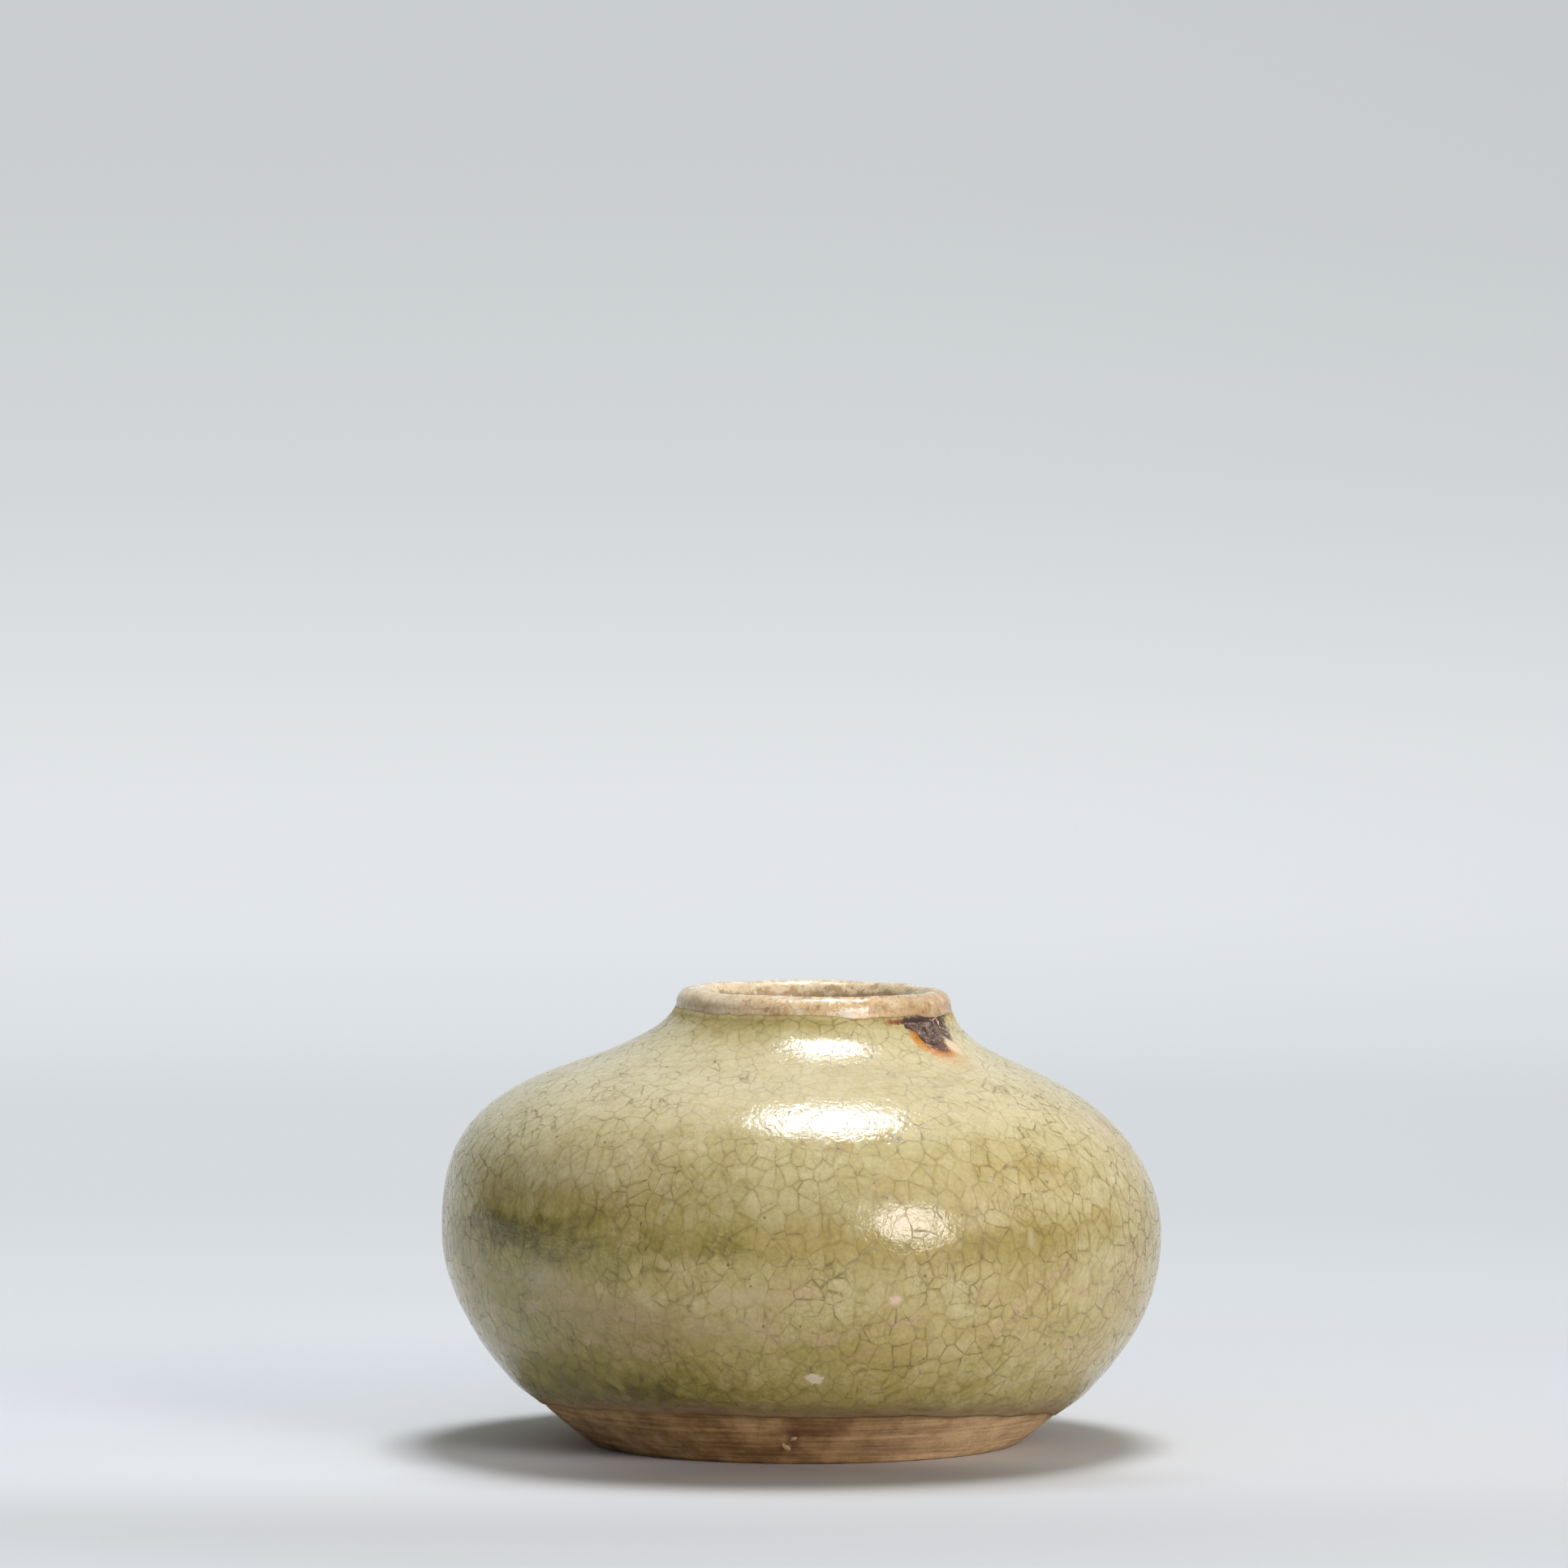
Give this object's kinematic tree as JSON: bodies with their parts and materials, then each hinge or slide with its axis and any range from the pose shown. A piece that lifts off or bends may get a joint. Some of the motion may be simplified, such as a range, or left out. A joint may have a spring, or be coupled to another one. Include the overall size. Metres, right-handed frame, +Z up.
{
  "type": "small jar",
  "caption": "Small squat jar with a wide belly, a short neck with a rolled lip, and a bare turned foot, glazed inside and out.",
  "frame": {"origin": "on the axis of the belly, in the plane that the foot stands on", "axes": "+Z up along the jar's axis; -Y is the side seen in the picture, with the slag bead to its right, and +X is to the right"},
  "size_m": [0.08, 0.08, 0.0505],
  "materials": {
    "stoneware": "matt, buff-brown unglazed stoneware with turning lines",
    "celadon_glaze": "glossy yellow-green celadon with a fine brown crackle, darker where it lies thick in the throwing rings",
    "thin_brown_glaze": "thin satin brown-buff glaze, worn on the edges",
    "inside_celadon_glaze": "glossy yellow-green celadon with crackle",
    "iron_slag": "satin dark grey-brown fused iron slag",
    "kiln_grit": "matt pale grit"
  },
  "bodies": {
    "root": {"clay_body": "stoneware", "outside_glaze": "celadon_glaze", "lip_glaze": "thin_brown_glaze", "inside_glaze": "inside_celadon_glaze", "iron_slag_bead": "iron_slag", "kiln_grit_1": "kiln_grit", "kiln_grit_2": "kiln_grit"}
  },
  "joints": []
}
